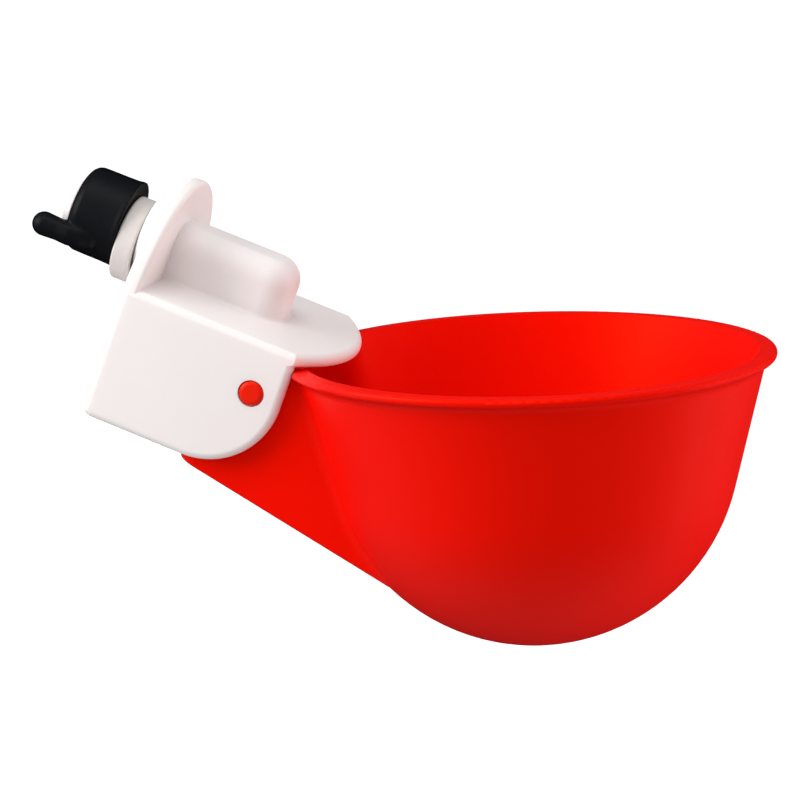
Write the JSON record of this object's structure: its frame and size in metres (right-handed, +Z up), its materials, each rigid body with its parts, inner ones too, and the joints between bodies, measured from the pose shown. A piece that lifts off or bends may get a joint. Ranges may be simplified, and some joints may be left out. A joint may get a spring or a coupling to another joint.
{
  "type": "poultry drinking cup",
  "caption": "Tilting water cup for poultry: a round bowl on a trough arm, hinged in a bracket with a valve housing, a threaded inlet stub and a thumb nut.",
  "frame": {"origin": "centre of the inlet stub's open end", "axes": "+X forward along the stub towards the cup, +Y across, +Z up, with the bracket upright as it hangs on a wall"},
  "size_m": [0.1299, 0.084, 0.0651],
  "materials": {
    "white_plastic": "moulded, soft gloss",
    "red_plastic": "moulded, glossy",
    "pin_plastic": "moulded, satin",
    "black_plastic": "moulded, semi-matt",
    "white_rubber": "moulded, satin",
    "seal_rubber": "moulded, matt",
    "spring_steel": "drawn wire"
  },
  "bodies": {
    "bracket": {"bracket_body": "white_plastic", "stub_washer": "white_rubber", "return_spring": "spring_steel"},
    "cup": {"drinking_cup": "red_plastic", "hinge_pin": "pin_plastic"},
    "plunger": {"valve_plunger": "white_plastic", "valve_seal": "seal_rubber"},
    "nut": {"thumb_nut": "black_plastic"}
  },
  "joints": [
    {"name": "cup_tilt", "type": "hinge", "parent": "bracket", "child": "cup", "pos_m": [0.045, 0, -0.0143], "axis": [0, 1, 0], "range_deg": [0, 20], "stiffness_Nm_per_rad": 0.03, "springref_deg": -34.38},
    {"name": "valve_lift", "type": "slide", "parent": "bracket", "child": "plunger", "axis": [0, 0, 1], "range_m": [0, 0.00243], "deforming": ["return_spring"]},
    {"name": "nut_spin", "type": "hinge", "parent": "bracket", "child": "nut", "pos_m": [0, 0, 0], "axis": [1, 0, 0], "continuous": true}
  ],
  "couplings": [
    {"joint": "valve_lift", "follows": "cup_tilt", "m_per_rad": 0.0069412}
  ]
}
